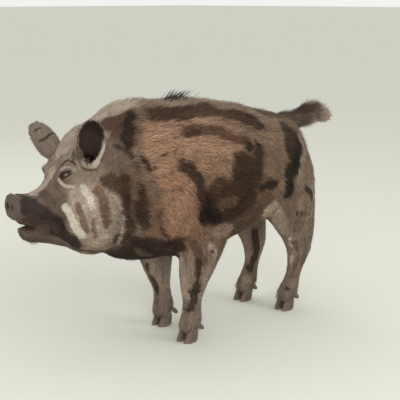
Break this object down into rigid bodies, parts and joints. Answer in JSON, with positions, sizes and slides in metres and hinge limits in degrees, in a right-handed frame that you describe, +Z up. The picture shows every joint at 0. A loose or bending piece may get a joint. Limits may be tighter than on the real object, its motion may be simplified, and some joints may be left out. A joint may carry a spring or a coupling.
{
  "type": "domestic pig",
  "caption": "Life-size still model of a deep-bodied, short-snouted, prick-eared farm pig, standing with its tufted tail held out behind.",
  "frame": {"origin": "on the floor under the middle of the pig's bounding box", "axes": "the pig faces -X, its left side is at -Y, +Z is up; the head is turned a little to the pig's right"},
  "size_m": [1.3986, 0.4376, 0.7501],
  "materials": {
    "bristly_hide": "brown hide under short bristles, matte",
    "ear_hide": "thin dark hide with fine hair, matte",
    "eye": "wet, glossy",
    "claw_horn": "dark horn, worn satin"
  },
  "bodies": {
    "root": {"head": "bristly_hide", "jaw": "bristly_hide", "snout": "bristly_hide", "neck": "bristly_hide", "chest": "bristly_hide", "barrel": "bristly_hide", "rump": "bristly_hide", "tail": "bristly_hide", "tail_tuft": "bristly_hide", "leg_fore_left_upper": "bristly_hide", "leg_fore_left_lower": "bristly_hide", "leg_fore_right_upper": "bristly_hide", "leg_fore_right_lower": "bristly_hide", "leg_hind_left_upper": "bristly_hide", "leg_hind_left_lower": "bristly_hide", "leg_hind_right_upper": "bristly_hide", "leg_hind_right_lower": "bristly_hide", "ear_left": "ear_hide", "ear_right": "ear_hide", "eye_left": "eye", "eye_right": "eye", "claw_fore_left_outer": "claw_horn", "dewclaw_fore_left_outer": "claw_horn", "claw_fore_left_inner": "claw_horn", "dewclaw_fore_left_inner": "claw_horn", "claw_fore_right_outer": "claw_horn", "dewclaw_fore_right_outer": "claw_horn", "claw_fore_right_inner": "claw_horn", "dewclaw_fore_right_inner": "claw_horn", "claw_hind_left_outer": "claw_horn", "dewclaw_hind_left_outer": "claw_horn", "claw_hind_left_inner": "claw_horn", "dewclaw_hind_left_inner": "claw_horn", "claw_hind_right_outer": "claw_horn", "dewclaw_hind_right_outer": "claw_horn", "claw_hind_right_inner": "claw_horn", "dewclaw_hind_right_inner": "claw_horn"}
  },
  "joints": []
}
